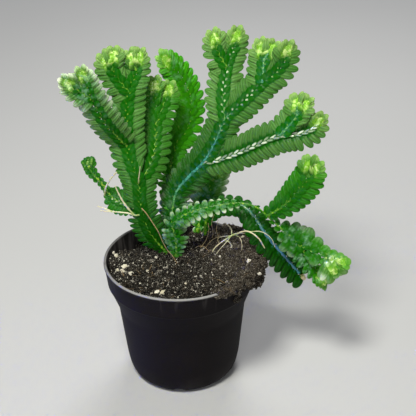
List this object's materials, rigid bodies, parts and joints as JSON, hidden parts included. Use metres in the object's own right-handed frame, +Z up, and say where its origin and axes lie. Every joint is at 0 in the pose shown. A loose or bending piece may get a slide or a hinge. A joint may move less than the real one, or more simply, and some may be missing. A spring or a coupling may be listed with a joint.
{
  "type": "potted spikemoss",
  "caption": "Potted spikemoss: forking flat leafy stems rising and trailing from heaped potting mix in a round tapered nursery pot.",
  "frame": {"origin": "centre of the pot's flat foot pad, on the surface that the pot stands on", "axes": "+Z up the pot's axis; -Y faces the front, the side that the picture shows; +X to the right, towards the trailing shoot"},
  "size_m": [0.1463, 0.0998, 0.1797],
  "materials": {
    "pot_plastic": "thin black polypropylene, slightly shiny, with a worn pale lip",
    "potting_mix": null,
    "foliage": null,
    "rhizophore": "smooth pale straw-coloured aerial roots"
  },
  "bodies": {
    "root": {"pot": "pot_plastic", "potting_mix": "potting_mix", "shoot_left": "foliage", "shoot_right": "foliage", "shoot_trailing": "foliage", "shoot_drooping": "foliage", "shoot_back": "foliage", "rhizophore_left": "rhizophore", "rhizophore_front": "rhizophore", "rhizophore_upright": "rhizophore", "rhizophore_right": "rhizophore"}
  },
  "joints": []
}
